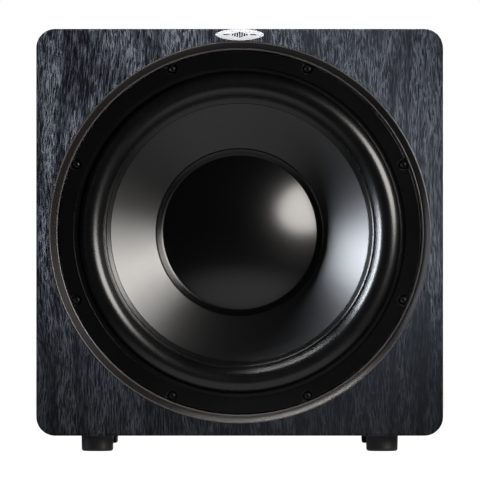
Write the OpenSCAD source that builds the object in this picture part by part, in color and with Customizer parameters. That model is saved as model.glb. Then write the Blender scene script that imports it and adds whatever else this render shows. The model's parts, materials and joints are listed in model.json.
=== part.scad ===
// Powered subwoofer, millimetres, +Z up, the driver faces -Y.
// Origin: on the floor, under the middle of the overall length from badge to heat sink.

/* [Cabinet] */
// Width of the cabinet across X
cab_w = 430; // [424:1:460]
// Height of the cabinet without its feet
cab_h = 430; // [424:1:460]
// Depth of the cabinet, baffle included
cab_d = 450; // [430:1:500]
// Thickness of the side, top and bottom walls
wall_t = 18; // [16:1:20]
// Radius of the four long corners
corner_r = 20; // [18:1:26]
// Rounding of the baffle's front edge
edge_r = 2.5; // [1.5:0.5:3]
// Thickness of the front baffle
baffle_t = 36; // [34:1:40]
// Thickness of the rear panel
rear_t = 18; // [16:1:20]
// Height of a foot
foot_h = 17; // [14:1:20]
// Radius of a foot at its top
foot_r = 17; // [15:0.5:18]
// Distance of each foot from the middle plane
foot_x = 151; // [145:1:160]

/* [Driver] */
// Radius of the rebate in the baffle
rebate_r = 202; // [201:0.5:203]
// Radius of the basket flange
frame_r = 191.5; // [191:0.5:192]
// Radius of the circle the screws stand on
bolt_r = 187; // [186:0.5:187.5]
// Number of driver screws
bolt_n = 8; // [6:1:10]
// Radius of the middle of the surround's roll
roll_r = 158.7; // [158.5:0.1:159]
// Outer radius of the roll's half-round section
roll_a = 12.7; // [12.5:0.1:12.7]
// How far the roll's centre line sits below the frame's seat
roll_sink = 2; // [1.5:0.1:2.5]
// Radius of the dust cap's dome
cap_r = 82.8; // [80:0.1:84]
// Height of the dust cap's dome
cap_rise = 20; // [16:0.5:24]
// Radius of the voice coil former
coil_r = 38; // [37:0.5:38.5]
// Radius of the magnet
magnet_r = 90; // [84:1:92]

/* [Amplifier] */
// Width of the amplifier plate
plate_w = 250; // [246:1:256]
// Height of the amplifier plate
plate_h = 300; // [296:1:306]
// Thickness of the amplifier plate
plate_t = 3; // [2.5:0.5:3.5]
// Number of heat sink fins
fin_n = 18; // [12:1:20]
// Length of a heat sink fin, out from its base
fin_l = 18; // [10:1:24]

/* [Hidden] */
$fn = 96;

eps = 0.01;
touch = 0.02;
badge_t = 1.6;
inlay_t = 0.3;
seal_t = 1.5;
sink_base = 4;
knob_l = 17.5;
face_z = seal_t + plate_t;
front_out = badge_t + inlay_t;
back_out = face_z + max(sink_base + fin_l, knob_l);
front_y = front_out - (front_out + cab_d + back_out) / 2;
back_y = front_y + cab_d;
mid_y = (front_y + back_y) / 2;
axis_z = foot_h + cab_h / 2;
in_w = cab_w - 2 * wall_t;
in_h = cab_h - 2 * wall_t;
in_r = corner_r - wall_t + 3;

// Levels inside the driver, measured out from the baffle's front face.
rebate_d = 18.5;
foam_t = 2;
flange_z = foam_t - rebate_d;
flange_t = 3.5;
seat_z = flange_z + flange_t;
skin_t = 1.2;
cone_drop = 1.8;
lip_r = 144;
rim_r = 180.5;
neck_z = -86;
cone_slope = (seat_z - neck_z) / (lip_r - coil_r);
cap_edge_r = 88.7;
basket_floor_z = -120;
basket_floor_t = 4;
top_plate_t = 10;
magnet_t = 20;
yoke_t = 10;
former_t = 0.4;
coil_l = 20;
gap_z = basket_floor_z - top_plate_t / 2;
spider_z = -96;
spider_out_r = 93;
block_r = 118;
baffle_hole_r = 178;

// Levels on the amplifier, measured out from the rear panel's outer face.
cut_w = 220;
cut_h = 270;
box_w = 217;
box_h = 267;
box_d = 75;
box_t = 1.5;
sink_w = 204;
sink_h = 92;
sink_v = -24;
knob_v = 104;
volume_u = -72;
crossover_u = -18;
phase_u = 36;
mode_u = 84;
led_u = 60;
led_v = 128;
jack_v = 56;
jack_us = [-84, -60, -24, 0];
board_z = -16;
bushing_r = 3.5;
shaft_r = 3;
rocker_u = -78;
inlet_u = 52;
power_v = -110;
amp_screw_u = 117;
amp_screw_v = 142;

module at_driver() {
    translate([0, front_y, axis_z]) rotate([90, 0, 0]) children();
}

module at_amp() {
    translate([0, back_y, axis_z]) rotate([90, 0, 180]) children();
}

module around(n, r, start = 0) {
    for (i = [0 : n - 1])
        rotate([0, 0, start + 360 * i / n]) translate([r, 0, 0]) children();
}

// Rectangle with true round corners.
module round_rect(w, h, r) {
    square([w - 2 * r, h], center = true);
    square([w, h - 2 * r], center = true);
    for (sx = [-1, 1], sy = [-1, 1])
        translate([sx * (w / 2 - r), sy * (h / 2 - r)]) circle(r = r);
}

module round_plate(w, h, r, z0, z1) {
    translate([0, 0, z0]) linear_extrude(z1 - z0) round_rect(w, h, r);
}

module block(w, h, z0, z1) {
    translate([-w / 2, -h / 2, z0]) cube([w, h, z1 - z0]);
}

module rod(r, z0, z1) {
    translate([0, 0, z0]) cylinder(r = r, h = z1 - z0);
}

// A flat ring from z0 to z1.
module ring(r0, r1, z0, z1) {
    rotate_extrude() translate([r0, z0]) square([r1 - r0, z1 - z0]);
}

// ---- Cabinet ----

module at_feet() {
    for (sx = [-1, 1], sy = [-1, 1])
        translate([sx * foot_x, mid_y + sy * (cab_d / 2 - 45), 0]) children();
}

foot_screw_r = 2.25;
foot_screw_top = foot_h + 14;

module cabinet_shell() {
    color([0.09, 0.09, 0.1]) difference() {
        translate([0, back_y, axis_z]) rotate([90, 0, 0])
            linear_extrude(cab_d - baffle_t) difference() {
                round_rect(cab_w, cab_h, corner_r);
                round_rect(in_w, in_h, in_r);
            }
        at_feet() rod(foot_screw_r + 0.05, foot_h - 1, foot_screw_top + 0.5);
    }
}

// Edge section of the baffle: x runs inwards from the edge, y runs out to the front.
module baffle_edge_section(depth) {
    difference() {
        translate([0, -baffle_t]) square([depth, baffle_t]);
        difference() {
            translate([-1, -edge_r]) square([1 + edge_r, edge_r + 1]);
            translate([edge_r, -edge_r]) circle(r = edge_r);
        }
    }
}

module baffle_blank() {
    hw = cab_w / 2;
    hh = cab_h / 2;
    block(cab_w - 2 * corner_r, cab_h - 2 * corner_r, -baffle_t, 0);
    for (sx = [-1, 1], sy = [-1, 1])
        translate([sx * (hw - corner_r), sy * (hh - corner_r), 0])
            rotate_extrude() translate([corner_r, 0]) mirror([1, 0])
                baffle_edge_section(corner_r);
    for (side = [0, 1]) rotate([0, 0, 180 * side]) {
        translate([-hw, hh - corner_r, 0]) rotate([90, 0, 0])
            linear_extrude(cab_h - 2 * corner_r) baffle_edge_section(corner_r);
        translate([-(hw - corner_r), -hh, 0]) rotate([90, 0, 90])
            linear_extrude(cab_w - 2 * corner_r) baffle_edge_section(corner_r);
    }
}

module front_baffle() {
    color([0.09, 0.09, 0.1]) at_driver() difference() {
        baffle_blank();
        rod(rebate_r + 0.1, -rebate_d, 1);
        rod(baffle_hole_r, -baffle_t - 1, 0);
        around(bolt_n, bolt_r, 180 / bolt_n) rod(4, -baffle_t - 1, 0);
        for (s = [-1, 1]) translate([s * badge_pin_x, badge_v, 0])
            rod(badge_pin_r + 0.05, -badge_pin_l - 0.5, 1);
    }
}

module rear_panel() {
    color([0.09, 0.09, 0.1]) at_amp() difference() {
        round_plate(in_w - 0.3, in_h - 0.3, in_r, -rear_t, 0);
        round_plate(cut_w, cut_h, 6, -rear_t - 1, 1);
        at_amp_screws() rod(amp_screw_r + 0.05, -amp_screw_l - 0.5, 1);
    }
}

module window_brace() {
    color([0.66, 0.52, 0.36]) at_driver() difference() {
        round_plate(in_w - 0.3, in_h - 0.3, in_r, -cab_d / 2 - 18, -cab_d / 2);
        round_plate(310, 310, 40, -cab_d / 2 - 19, -cab_d / 2 + 1);
    }
}

module damping_lining() {
    lining_t = 20;
    spans = [[-cab_d / 2 + 2, -55], [-cab_d + rear_t + 2, -cab_d / 2 - 20]];
    color([0.75, 0.75, 0.72]) at_driver() for (s = spans)
        translate([0, 0, s[0]]) linear_extrude(s[1] - s[0]) difference() {
            round_rect(in_w - 2, in_h - 2, in_r);
            round_rect(in_w - 2 * lining_t, in_h - 2 * lining_t, in_r);
        }
}

module rubber_feet() {
    bottom_r = foot_r - 1.5;
    round_r = 3;
    color([0.05, 0.05, 0.055]) at_feet() difference() {
        rotate_extrude() difference() {
            union() {
                polygon([[0, round_r], [bottom_r, round_r], [foot_r, foot_h], [0, foot_h]]);
                square([bottom_r - round_r, foot_h - 1]);
                intersection() {
                    translate([bottom_r - round_r, round_r]) circle(r = round_r);
                    square([bottom_r, round_r]);
                }
            }
        }
        rod(7, -1, 9);
        rod(foot_screw_r + 0.25, 0, foot_h + 1);
    }
}

module foot_washers() {
    color([0.7, 0.71, 0.72]) at_feet() ring(foot_screw_r + 0.2, 6.5, 7.8, 9);
}

module foot_screws() {
    color([0.62, 0.63, 0.65]) at_feet() difference() {
        union() {
            rod(4.6, 4.8, 7.8);
            rod(foot_screw_r, 7, foot_screw_top);
        }
        translate([0, 0, 4]) cylinder(r = 2, h = 2.6, $fn = 6);
    }
}

// ---- Badge ----

badge_w = 51.4;
badge_h = 12.4;
badge_v = cab_h / 2 - badge_h / 2;
badge_pin_x = 12;
badge_pin_r = 1.2;
badge_pin_l = 5;

// Pointed oval: two arcs that meet at the ends.
module pointed_oval(w, h) {
    arc_r = (w * w + h * h) / (4 * h);
    intersection_for (s = [-1, 1])
        translate([0, s * (arc_r - h / 2)]) circle(r = arc_r, $fn = 360);
}

module badge_plate() {
    color([0.86, 0.87, 0.88]) at_driver() translate([0, badge_v, 0]) {
        linear_extrude(badge_t) pointed_oval(badge_w, badge_h);
        for (s = [-1, 1]) translate([s * badge_pin_x, 0, 0])
            rod(badge_pin_r, -badge_pin_l, badge_t / 2);
    }
}

module badge_inlay() {
    color([0.15, 0.15, 0.17]) at_driver() translate([0, badge_v - 1.9, 0])
        round_plate(30, 2, 0.9, badge_t, front_out);
}

// ---- Driver ----

module trim_ring() {
    lip_z = -6.8;
    color([0.13, 0.12, 0.115]) at_driver() rotate_extrude() polygon([
        [193.3, -rebate_d], [rebate_r, -rebate_d], [rebate_r, 0],
        [rebate_r - 0.9, 0], [194.4, lip_z], [193.3, lip_z]
    ]);
}

module driver_gasket() {
    color([0.12, 0.12, 0.12]) at_driver() difference() {
        ring(baffle_hole_r + 0.5, frame_r - 0.5, -rebate_d, flange_z);
        around(bolt_n, bolt_r, 180 / bolt_n) rod(3.4, -rebate_d - 1, flange_z + 1);
    }
}

window_n = 6;
window_a = 38;

// Sector between two radii, centred on the x axis.
module sector(r0, r1, a) {
    far = 2 * r1;
    intersection() {
        difference() {
            circle(r = r1);
            circle(r = r0);
        }
        polygon([[0, 0], [far * cos(a / 2), -far * sin(a / 2)], [far * cos(a / 2), far * sin(a / 2)]]);
    }
}

module driver_basket() {
    deck_z = basket_floor_z + basket_floor_t;
    color([0.1, 0.1, 0.105]) at_driver() difference() {
        union() {
            rotate_extrude() polygon([
                [171.5, seat_z], [frame_r, seat_z], [frame_r, flange_z], [176.5, flange_z],
                [176.5, -26], [106, deck_z - 1], [106, basket_floor_z], [56, basket_floor_z],
                [56, deck_z], [86, deck_z], [86, spider_z], [94, spider_z], [94, deck_z],
                [102.5, deck_z], [171.5, -27]
            ]);
            translate([-17, -block_r - 8, basket_floor_z]) cube([34, 26, basket_floor_t]);
        }
        around(window_n, 0, 30) translate([0, 0, deck_z + 3])
            linear_extrude(-27 - deck_z - 3) sector(108, 168, window_a);
        around(bolt_n, bolt_r, 180 / bolt_n) rod(3.4, flange_z - 1, seat_z + 1);
    }
}

// Half of a round roll, above or below its centre line.
module half_roll(r, t, up) {
    intersection() {
        difference() {
            circle(r = r);
            circle(r = r - t);
        }
        translate([-2 * r, up ? 0 : -2 * r]) square([4 * r, 2 * r]);
    }
}

module surround() {
    leg_r = roll_r - roll_a;
    glue_r = lip_r - 7.7;
    glue_fall = (lip_r - glue_r) * cone_slope;
    edge_r = roll_r + roll_a - skin_t;
    color([0.05, 0.05, 0.055]) at_driver() rotate_extrude($fn = 180) translate([0, seat_z]) {
        translate([roll_r, -roll_sink]) half_roll(roll_a, skin_t, true);
        translate([edge_r, 0]) square([rim_r - edge_r, skin_t]);
        polygon([
            [glue_r, 0.1 - glue_fall], [lip_r, 0.1], [leg_r, 0], [leg_r + skin_t, 0],
            [leg_r + skin_t / 2, skin_t], [lip_r, skin_t + 0.3], [glue_r, skin_t + 0.3 - glue_fall]
        ]);
    }
}

module gasket_ring() {
    step_r = rim_r + 0.2;
    in_edge = 175.4;
    out_edge = frame_r - 0.3;
    top_z = seat_z + 4.5;
    color([0.06, 0.06, 0.065]) at_driver() difference() {
        rotate_extrude() polygon([
            [in_edge, seat_z + skin_t + touch], [step_r, seat_z + skin_t + touch],
            [step_r, seat_z], [out_edge, seat_z], [out_edge, top_z - 0.8],
            [out_edge - 0.8, top_z], [in_edge + 1, top_z], [in_edge, top_z - 1]
        ]);
        around(bolt_n, bolt_r, 180 / bolt_n) {
            rod(6, seat_z - 1, top_z + 1);
            translate([0, -6, seat_z - 1]) cube([12, 12, top_z - seat_z + 2]);
        }
    }
}

module cone() {
    color([0.07, 0.07, 0.075]) at_driver() rotate_extrude() polygon([
        [coil_r + touch, neck_z], [lip_r, seat_z], [lip_r, seat_z - cone_drop],
        [coil_r + touch, neck_z - cone_drop]
    ]);
}

module dust_cap() {
    dome_r = (cap_r * cap_r + cap_rise * cap_rise) / (2 * cap_rise);
    base_z = seat_z - (lip_r - cap_r) * cone_slope;
    edge_z = seat_z - (lip_r - cap_edge_r) * cone_slope;
    gap = 0.1;
    color([0.06, 0.06, 0.065]) at_driver() rotate_extrude($fn = 180) {
        intersection() {
            translate([0, base_z + gap + cap_rise - dome_r]) difference() {
                circle(r = dome_r, $fn = 720);
                circle(r = dome_r - skin_t, $fn = 720);
            }
            translate([0, base_z + gap]) square([cap_r - 0.5, cap_rise + 1]);
        }
        polygon([
            [cap_r - 2.4, base_z + gap], [cap_r, base_z + gap], [cap_edge_r, edge_z + gap],
            [cap_edge_r, edge_z + skin_t], [cap_r + 0.6, base_z + skin_t + 0.3],
            [cap_r - 1.6, base_z + skin_t + 0.8]
        ]);
    }
}

module voice_coil_former() {
    color([0.72, 0.6, 0.36]) at_driver() ring(coil_r - former_t, coil_r, gap_z - coil_l / 2 - 2, neck_z + 4);
}

module voice_coil_winding() {
    color([0.72, 0.42, 0.2]) at_driver() ring(coil_r + touch, coil_r + 1.2, gap_z - coil_l / 2, gap_z + coil_l / 2);
}

module spider() {
    wave = 4;
    wave_n = 5;
    start_r = coil_r + 5;
    fabric_t = 0.6;
    z0 = spider_z + fabric_t / 2 + touch;
    last_r = start_r + 2 * wave * wave_n - wave;
    color([0.78, 0.68, 0.36]) at_driver() rotate_extrude() translate([0, z0]) {
        translate([coil_r + touch, -fabric_t / 2])
            square([start_r - coil_r - touch - wave + fabric_t, fabric_t]);
        for (i = [0 : wave_n - 1]) translate([start_r + 2 * wave * i, 0])
            half_roll(wave + fabric_t / 2, fabric_t, i % 2 == 0);
        translate([last_r - fabric_t / 2, -fabric_t / 2])
            square([spider_out_r - last_r + fabric_t / 2, fabric_t]);
    }
}

module top_plate() {
    color([0.55, 0.56, 0.58]) at_driver()
        ring(coil_r + 2, magnet_r + 2, basket_floor_z - top_plate_t, basket_floor_z);
}

module magnet_rings() {
    color([0.11, 0.11, 0.12]) at_driver() for (i = [1, 2])
        ring(50, magnet_r, basket_floor_z - top_plate_t - magnet_t * i + touch,
            basket_floor_z - top_plate_t - magnet_t * (i - 1));
}

module yoke() {
    floor_z = basket_floor_z - top_plate_t - 2 * magnet_t;
    vent_r = 14;
    color([0.5, 0.51, 0.53]) at_driver() rotate_extrude() polygon([
        [vent_r, floor_z - yoke_t], [magnet_r - 4, floor_z - yoke_t], [magnet_r - 2, floor_z - yoke_t + 2],
        [magnet_r - 2, floor_z], [coil_r - 2, floor_z], [coil_r - 2, basket_floor_z + 2],
        [vent_r, basket_floor_z + 2]
    ]);
}

module driver_screws() {
    head_r = 4.75;
    color([0.04, 0.04, 0.045]) at_driver() around(bolt_n, bolt_r, 180 / bolt_n) difference() {
        union() {
            rod(3, seat_z - 26, seat_z + 1);
            rotate_extrude() polygon([
                [0, seat_z], [head_r, seat_z], [head_r, seat_z + 1.4],
                [head_r - 1.4, seat_z + 2.8], [head_r - 2.2, seat_z + 3], [0, seat_z + 3]
            ]);
        }
        translate([0, 0, seat_z + 1]) cylinder(r = 2, h = 3, $fn = 6);
    }
}

module tee_nuts() {
    color([0.66, 0.67, 0.69]) at_driver() around(bolt_n, bolt_r, 180 / bolt_n) difference() {
        union() {
            rod(3.95, -baffle_t - 0.5, -baffle_t + 11);
            rod(8.5, -baffle_t - 1.5, -baffle_t);
        }
        rod(3.05, -baffle_t - 2, 0);
    }
}

module terminal_block() {
    top_z = basket_floor_z + 12;
    color([0.16, 0.1, 0.08]) at_driver() translate([0, -block_r, 0]) {
        block(30, 12, basket_floor_z + basket_floor_t, top_z);
        for (s = [-1, 1]) translate([s * 9, 0, 0]) block(5, 0.8, top_z - 1, top_z + 7);
    }
}

// A sagging arc of round cord from each terminal to the back of the cone.
lead_start = [-block_r + 1, basket_floor_z + 19];
lead_end = [-66, neck_z + cone_slope * (66 - coil_r) - 3.8];
lead_sag = 6;

module tinsel_leads() {
    chord = lead_end - lead_start;
    half = norm(chord) / 2;
    bend_r = (half * half + lead_sag * lead_sag) / (2 * lead_sag);
    up = [-chord[1], chord[0]] / norm(chord);
    centre = (lead_start + lead_end) / 2 + up * (bend_r - lead_sag);
    from = lead_start - centre;
    to = lead_end - centre;
    a0 = atan2(from[1], from[0]);
    a1 = atan2(to[1], to[0]);
    color([0.75, 0.5, 0.25]) at_driver() for (s = [-1, 1])
        translate([s * 9, centre[0], centre[1]]) rotate([90, 0, 90]) rotate([0, 0, a0])
            rotate_extrude(angle = a1 - a0) translate([bend_r, 0]) circle(r = 1, $fn = 24);
}

wire_w = 3.4;

module speaker_wires() {
    color([0.45, 0.1, 0.08]) translate([0, 0, axis_z - block_r]) rotate([-90, 0, 0])
        for (s = [-1, 1]) translate([s * wire_w, 0, 0])
            rod(1.6, front_y - basket_floor_z + touch, back_y - box_d + 8);
}

module wire_grommet() {
    color([0.05, 0.05, 0.05]) at_amp() translate([0, -block_r, 0]) difference() {
        union() {
            rod(7.9, -box_d - 0.8, -box_d + box_t + 0.8);
            rod(10, -box_d - 2.5, -box_d);
            rod(10, -box_d + box_t, -box_d + box_t + 2);
        }
        for (s = [-1, 1]) translate([s * wire_w, 0, 0]) rod(1.65, -box_d - 4, -box_d + 8);
    }
}

// ---- Amplifier ----

amp_screw_r = 1.9;
amp_screw_l = 14;

module at_amp_screws() {
    for (sx = [-1, 1], sy = [-1, 0, 1])
        translate([sx * amp_screw_u, sy * amp_screw_v, 0]) children();
    for (sy = [-1, 1]) translate([0, sy * amp_screw_v, 0]) children();
}

module amp_gasket() {
    color([0.1, 0.1, 0.1]) at_amp() difference() {
        round_plate(plate_w - 1, plate_h - 1, 6, 0, seal_t);
        round_plate(cut_w, cut_h, 6, -1, seal_t + 1);
        at_amp_screws() rod(amp_screw_r + 0.2, -1, seal_t + 1);
    }
}

module amp_plate() {
    z0 = seal_t - 1;
    z1 = face_z + 1;
    color([0.08, 0.08, 0.085]) at_amp() difference() {
        round_plate(plate_w, plate_h, 6, seal_t, face_z);
        at_amp_screws() rod(amp_screw_r + 0.2, z0, z1);
        for (u = [volume_u, crossover_u]) translate([u, knob_v, 0]) rod(bushing_r + 0.1, z0, z1);
        for (u = [phase_u, mode_u]) translate([u, knob_v, 0]) block(slot_w, slot_h, z0, z1);
        translate([led_u, led_v, 0]) rod(2.6, z0, z1);
        for (u = jack_us) translate([u, jack_v, 0]) rod(jack_thread_r + 0.1, z0, z1);
        translate([rocker_u, power_v, 0]) block(rocker_w, rocker_h, z0, z1);
        translate([inlet_u, power_v, 0]) block(inlet_w, inlet_h, z0, z1);
    }
}

module amp_screws() {
    head_r = 3.6;
    color([0.05, 0.05, 0.055]) at_amp() at_amp_screws() difference() {
        union() {
            rod(amp_screw_r, -amp_screw_l, face_z + 1);
            rotate_extrude() polygon([
                [0, face_z], [head_r, face_z], [head_r, face_z + 1], [head_r - 1, face_z + 2.2], [0, face_z + 2.2]
            ]);
        }
        block(4, 0.9, face_z + 1.1, face_z + 3);
        block(0.9, 4, face_z + 1.1, face_z + 3);
    }
}

module heat_sink() {
    fin_t = 2;
    pitch = (sink_w - fin_t) / (fin_n - 1);
    color([0.07, 0.07, 0.075]) at_amp() translate([0, sink_v + sink_h / 2, face_z]) rotate([90, 0, 0])
        linear_extrude(sink_h) {
            translate([-sink_w / 2, 0]) square([sink_w, sink_base]);
            for (i = [0 : fin_n - 1])
                translate([-sink_w / 2 + pitch * i, sink_base - eps]) square([fin_t, fin_l + eps]);
        }
}

module amp_backbox() {
    color([0.62, 0.63, 0.64]) at_amp() difference() {
        round_plate(box_w, box_h, 4, -box_d, seal_t);
        round_plate(box_w - 2 * box_t, box_h - 2 * box_t, 2.5, -box_d + box_t, seal_t + 1);
        translate([0, -block_r, 0]) rod(8, -box_d - 1, -box_d + box_t + 1);
    }
}

board_t = 1.6;
main_z = -30;
main_w = 196;
main_h = 150;
main_v = -44;

module main_board() {
    color([0.1, 0.3, 0.14]) at_amp() translate([0, main_v, 0]) difference() {
        block(main_w, main_h, main_z, main_z + board_t);
        at_standoffs() rod(1.6, main_z - 1, main_z + board_t + 1);
    }
}

module at_standoffs() {
    for (sx = [-1, 1], sy = [-1, 1])
        translate([sx * (main_w / 2 - 6), sy * (main_h / 2 - 6), 0]) children();
}

module board_standoffs() {
    color([0.75, 0.76, 0.78]) at_amp() translate([0, main_v, 0]) at_standoffs() {
        rod(3, main_z + board_t, seal_t);
        rod(1.5, main_z - 2, main_z + board_t + 1);
    }
}

module transformer() {
    color([0.72, 0.6, 0.2]) at_amp() translate([48, -66, 0]) rotate_extrude()
        translate([15, -box_d + box_t]) round_corner_rect(25, 34, 6);
}

module round_corner_rect(w, h, r) {
    translate([w / 2, h / 2]) round_rect(w, h, r);
}

module filter_capacitors() {
    color([0.1, 0.12, 0.3]) at_amp() for (u = [-34, -66])
        translate([u, -50, 0]) rod(13, main_z - 36, main_z);
}

module power_transistors() {
    color([0.07, 0.07, 0.07]) at_amp() for (i = [0 : 3])
        translate([-54 + 36 * i, sink_v + 10, 0]) block(16, 20, seal_t - 5, seal_t);
}

module preamp_board() {
    color([0.1, 0.3, 0.14]) at_amp() translate([2, 85, 0]) block(200, 92, board_z, board_z + board_t);
}

// One potentiometer: case on the board, threaded bushing through the plate.
module pot(u) {
    at_amp() translate([u, knob_v, 0]) difference() {
        union() {
            block(17, 19, board_z + board_t, -5);
            rod(bushing_r, -6, face_z + 3.6);
        }
        rod(shaft_r + 0.05, -8, face_z + 5);
    }
}

module volume_pot() {
    color([0.55, 0.56, 0.58]) pot(volume_u);
}

module crossover_pot() {
    color([0.55, 0.56, 0.58]) pot(crossover_u);
}

module pot_nuts() {
    color([0.75, 0.75, 0.77]) at_amp() for (u = [volume_u, crossover_u])
        translate([u, knob_v, 0]) difference() {
            translate([0, 0, face_z]) cylinder(r = 6, h = 2, $fn = 6);
            rod(bushing_r + 0.03, face_z - 1, face_z + 4);
        }
}

// A flatted spindle that stands clear of the bottom of its case.
module spindle(u) {
    at_amp() translate([u, knob_v, 0]) difference() {
        rod(shaft_r, -7.5, face_z + 15);
        translate([-4, 1.5, face_z + 5]) cube([8, 4, 12]);
    }
}

module volume_shaft() {
    color([0.6, 0.61, 0.63]) spindle(volume_u);
}

module crossover_shaft() {
    color([0.6, 0.61, 0.63]) spindle(crossover_u);
}

// A grip knob, hollow underneath for the nut, with a pointer rib on its face.
module knob(u) {
    z0 = face_z + 0.6;
    z1 = face_z + knob_l - 0.5;
    grip_r = 10.5;
    at_amp() translate([u, knob_v, 0]) difference() {
        union() {
            rotate_extrude() polygon([
                [0, z0], [13, z0], [13, z0 + 1.6], [grip_r + 0.5, z0 + 3], [grip_r, z1 - 1], [grip_r - 1, z1], [0, z1]
            ]);
            translate([-0.8, 2, z1 - 1]) cube([1.6, grip_r - 3.5, 1.5]);
        }
        rod(7.4, z0 - 1, face_z + 4.2);
        difference() {
            rod(shaft_r + 0.04, z0 - 1, face_z + 15.04);
            translate([-4, 1.54, face_z + 5]) cube([8, 4, 14]);
        }
        around(24, grip_r + 0.7, 7.5) rod(1, z0 + 3.2, z1 + 1);
    }
}

module volume_knob() {
    color([0.06, 0.06, 0.065]) knob(volume_u);
}

module crossover_knob() {
    color([0.06, 0.06, 0.065]) knob(crossover_u);
}

slot_w = 11;
slot_h = 5.4;
slider_w = 4;
slider_h = 5;

module switch_bodies() {
    color([0.6, 0.61, 0.63]) at_amp() for (u = [phase_u, mode_u])
        translate([u, knob_v, 0]) difference() {
            block(22, 11, board_z + board_t, seal_t);
            block(slot_w, slot_h, -6, seal_t + 1);
        }
}

module slider(u) {
    at_amp() translate([u, knob_v, 0]) {
        block(slider_w, slider_h, -5.9, face_z + 3.4);
        for (s = [-1, 0, 1]) translate([s * 1.4, 0, 0]) block(0.6, slider_h, face_z + 3, face_z + 4);
    }
}

// The phase slider rests at one end of its slot, the mode slider in the middle.
module phase_slider() {
    color([0.09, 0.09, 0.095]) slider(phase_u - (slot_w - slider_w) / 2 + 0.5);
}

module mode_slider() {
    color([0.09, 0.09, 0.095]) slider(mode_u);
}

module status_led() {
    color([0.25, 0.75, 0.3]) at_amp() translate([led_u, led_v, 0]) {
        rod(2.5, board_z + board_t, face_z + 0.3);
        translate([0, 0, face_z + 0.3]) intersection() {
            sphere(r = 2.5);
            rod(3, 0, 3);
        }
    }
}

jack_thread_r = 4.6;

module rca_barrels() {
    color([0.8, 0.8, 0.8]) at_amp() for (u = jack_us) translate([u, jack_v, 0]) difference() {
        union() {
            rod(jack_thread_r, board_z + board_t, face_z + 1.5);
            rod(4.1, face_z, face_z + 9.5);
        }
        rod(1.65, face_z - 6, face_z + 10);
    }
}

module rca_rings(us) {
    at_amp() for (u = us) translate([u, jack_v, 0])
        ring(jack_thread_r + 0.05, 6.6, face_z, face_z + 1.6);
}

module rca_rings_white() {
    color([0.85, 0.85, 0.83]) rca_rings([jack_us[0], jack_us[2]]);
}

module rca_rings_red() {
    color([0.6, 0.07, 0.06]) rca_rings([jack_us[1], jack_us[3]]);
}

rocker_w = 20;
rocker_h = 28;
paddle_w = 13;
paddle_h = 20;
rocker_tilt = 9;
rocker_pivot_z = face_z - 6;

module rocker_housing() {
    color([0.05, 0.05, 0.055]) at_amp() translate([rocker_u, power_v, 0]) difference() {
        union() {
            round_plate(24, 32, 2, face_z, face_z + 2);
            block(rocker_w - 0.2, rocker_h - 0.2, -18, face_z);
        }
        block(paddle_w + 0.4, paddle_h + 3, -14, face_z + 3);
        translate([-10.2, 0, rocker_pivot_z]) rotate([0, 90, 0]) rod(1.55, 0, 20.4);
    }
}

// The rocker rests switched on, tilted about a pin along X.
module power_rocker() {
    arc_r = 60;
    color([0.07, 0.07, 0.075]) at_amp() translate([rocker_u, power_v, rocker_pivot_z])
        rotate([rocker_tilt, 0, 0]) {
            translate([-paddle_w / 2, 0, 0]) rotate([90, 0, 90]) linear_extrude(paddle_w) difference() {
                translate([-paddle_h / 2, -3]) square([paddle_h, 12.5]);
                translate([0, 7.2 + arc_r]) circle(r = arc_r, $fn = 360);
                for (s = [-1, 1]) translate([s * paddle_h / 2, -3]) rotate([0, 0, 45])
                    square(4, center = true);
            }
            translate([-9.5, 0, 0]) rotate([0, 90, 0]) rod(1.5, 0, 19);
        }
}

inlet_w = 30;
inlet_h = 40;
socket_w = 24.5;
socket_h = 16.5;
socket_v = 8;
socket_floor = -12;
drawer_w = 22;
drawer_h = 10;
drawer_v = -12;
drawer_back = -20;

// The socket's outline: a rectangle with its two upper corners cut off.
module socket_outline() {
    hw = socket_w / 2;
    hh = socket_h / 2;
    cut = 5;
    polygon([[-hw, -hh], [hw, -hh], [hw, hh - cut], [hw - cut, hh], [-hw + cut, hh], [-hw, hh - cut]]);
}

module mains_inlet() {
    color([0.05, 0.05, 0.055]) at_amp() translate([inlet_u, power_v, 0]) difference() {
        union() {
            round_plate(52, 46, 3, face_z, face_z + 3);
            block(inlet_w - 0.2, inlet_h - 0.2, -24, face_z);
        }
        translate([0, socket_v, socket_floor]) linear_extrude(30) socket_outline();
        translate([0, drawer_v, 0]) block(drawer_w + 0.2, drawer_h + 0.2, drawer_back, face_z + 4);
        for (p = pin_spots) translate([p[0], socket_v + p[1], 0]) block(4.04, 2.04, -30, 0);
        for (s = [-1, 1]) translate([s * 21, 0, 0]) rod(1.75, face_z - 1, face_z + 4);
    }
}

pin_spots = [[-7, -2], [0, 2], [7, -2]];

module mains_pins() {
    color([0.78, 0.78, 0.76]) at_amp() translate([inlet_u, power_v + socket_v, 0])
        for (p = pin_spots) translate([p[0], p[1], 0]) block(4, 2, -27, 4);
}

// The drawer is a tray, open on top for the fuse, with a pull ledge at the front.
module fuse_drawer() {
    color([0.06, 0.06, 0.065]) at_amp() translate([inlet_u, power_v + drawer_v, 0]) difference() {
        union() {
            block(drawer_w, drawer_h, drawer_back + 0.5, face_z + 3);
            translate([-4, -drawer_h / 2, face_z + 2]) cube([8, 2, 2.2]);
        }
        translate([-8.5, -2.7, drawer_back + 1.5]) cube([17, drawer_h, 22]);
    }
}

module fuse() {
    fuse_r = 2.6;
    color([0.8, 0.8, 0.78]) at_amp() translate([inlet_u, power_v + drawer_v, -5])
        rotate([0, 90, 0]) rod(fuse_r, -8, 8);
}

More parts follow.
